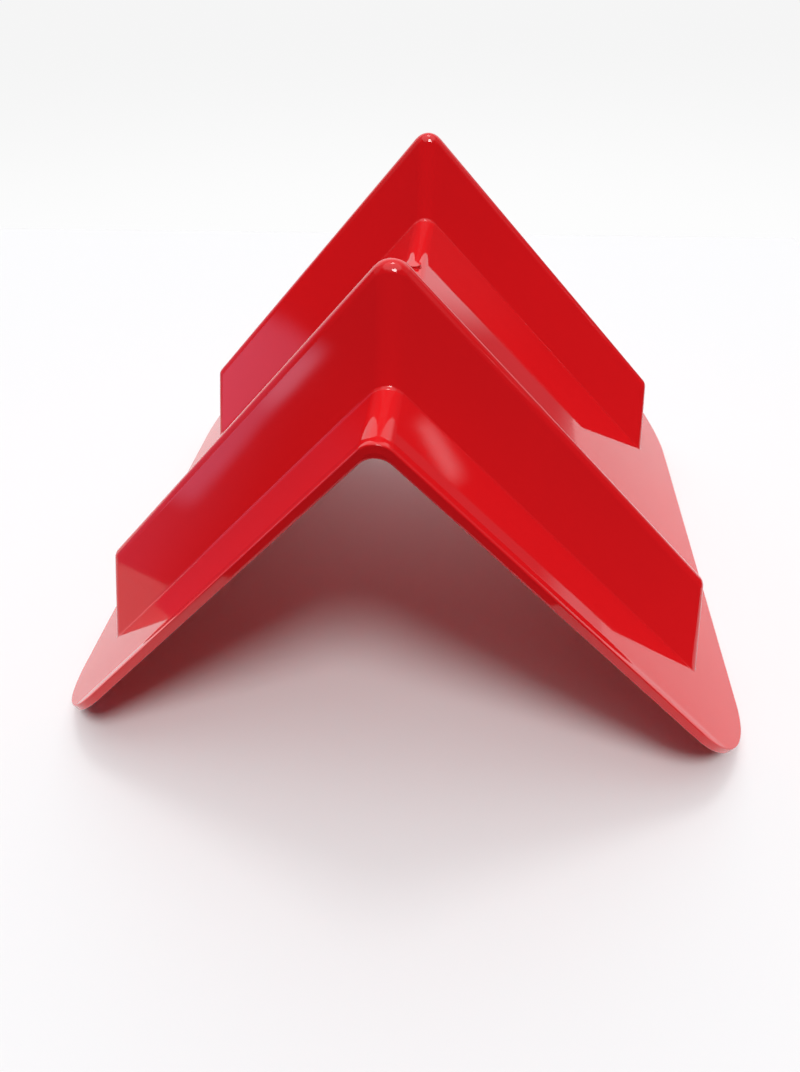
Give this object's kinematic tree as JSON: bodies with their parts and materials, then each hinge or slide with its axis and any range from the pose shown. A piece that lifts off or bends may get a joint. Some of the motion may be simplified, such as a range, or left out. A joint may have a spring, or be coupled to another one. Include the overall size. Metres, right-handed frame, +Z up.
{
  "type": "edge protector",
  "caption": "Moulded V-shaped edge protector that sits on a load's edge and guides a wide lashing strap between hollow ribs.",
  "frame": {"origin": "on the floor under the middle of the ridge, with both foot edges on the floor", "axes": "+Z up, +Y along the ridge away from the picture's camera, +X across the ridge to the right"},
  "size_m": [0.2428, 0.231, 0.156],
  "materials": {
    "red_plastic": "gloss"
  },
  "bodies": {
    "root": {"edge_protector": "red_plastic"}
  },
  "joints": []
}
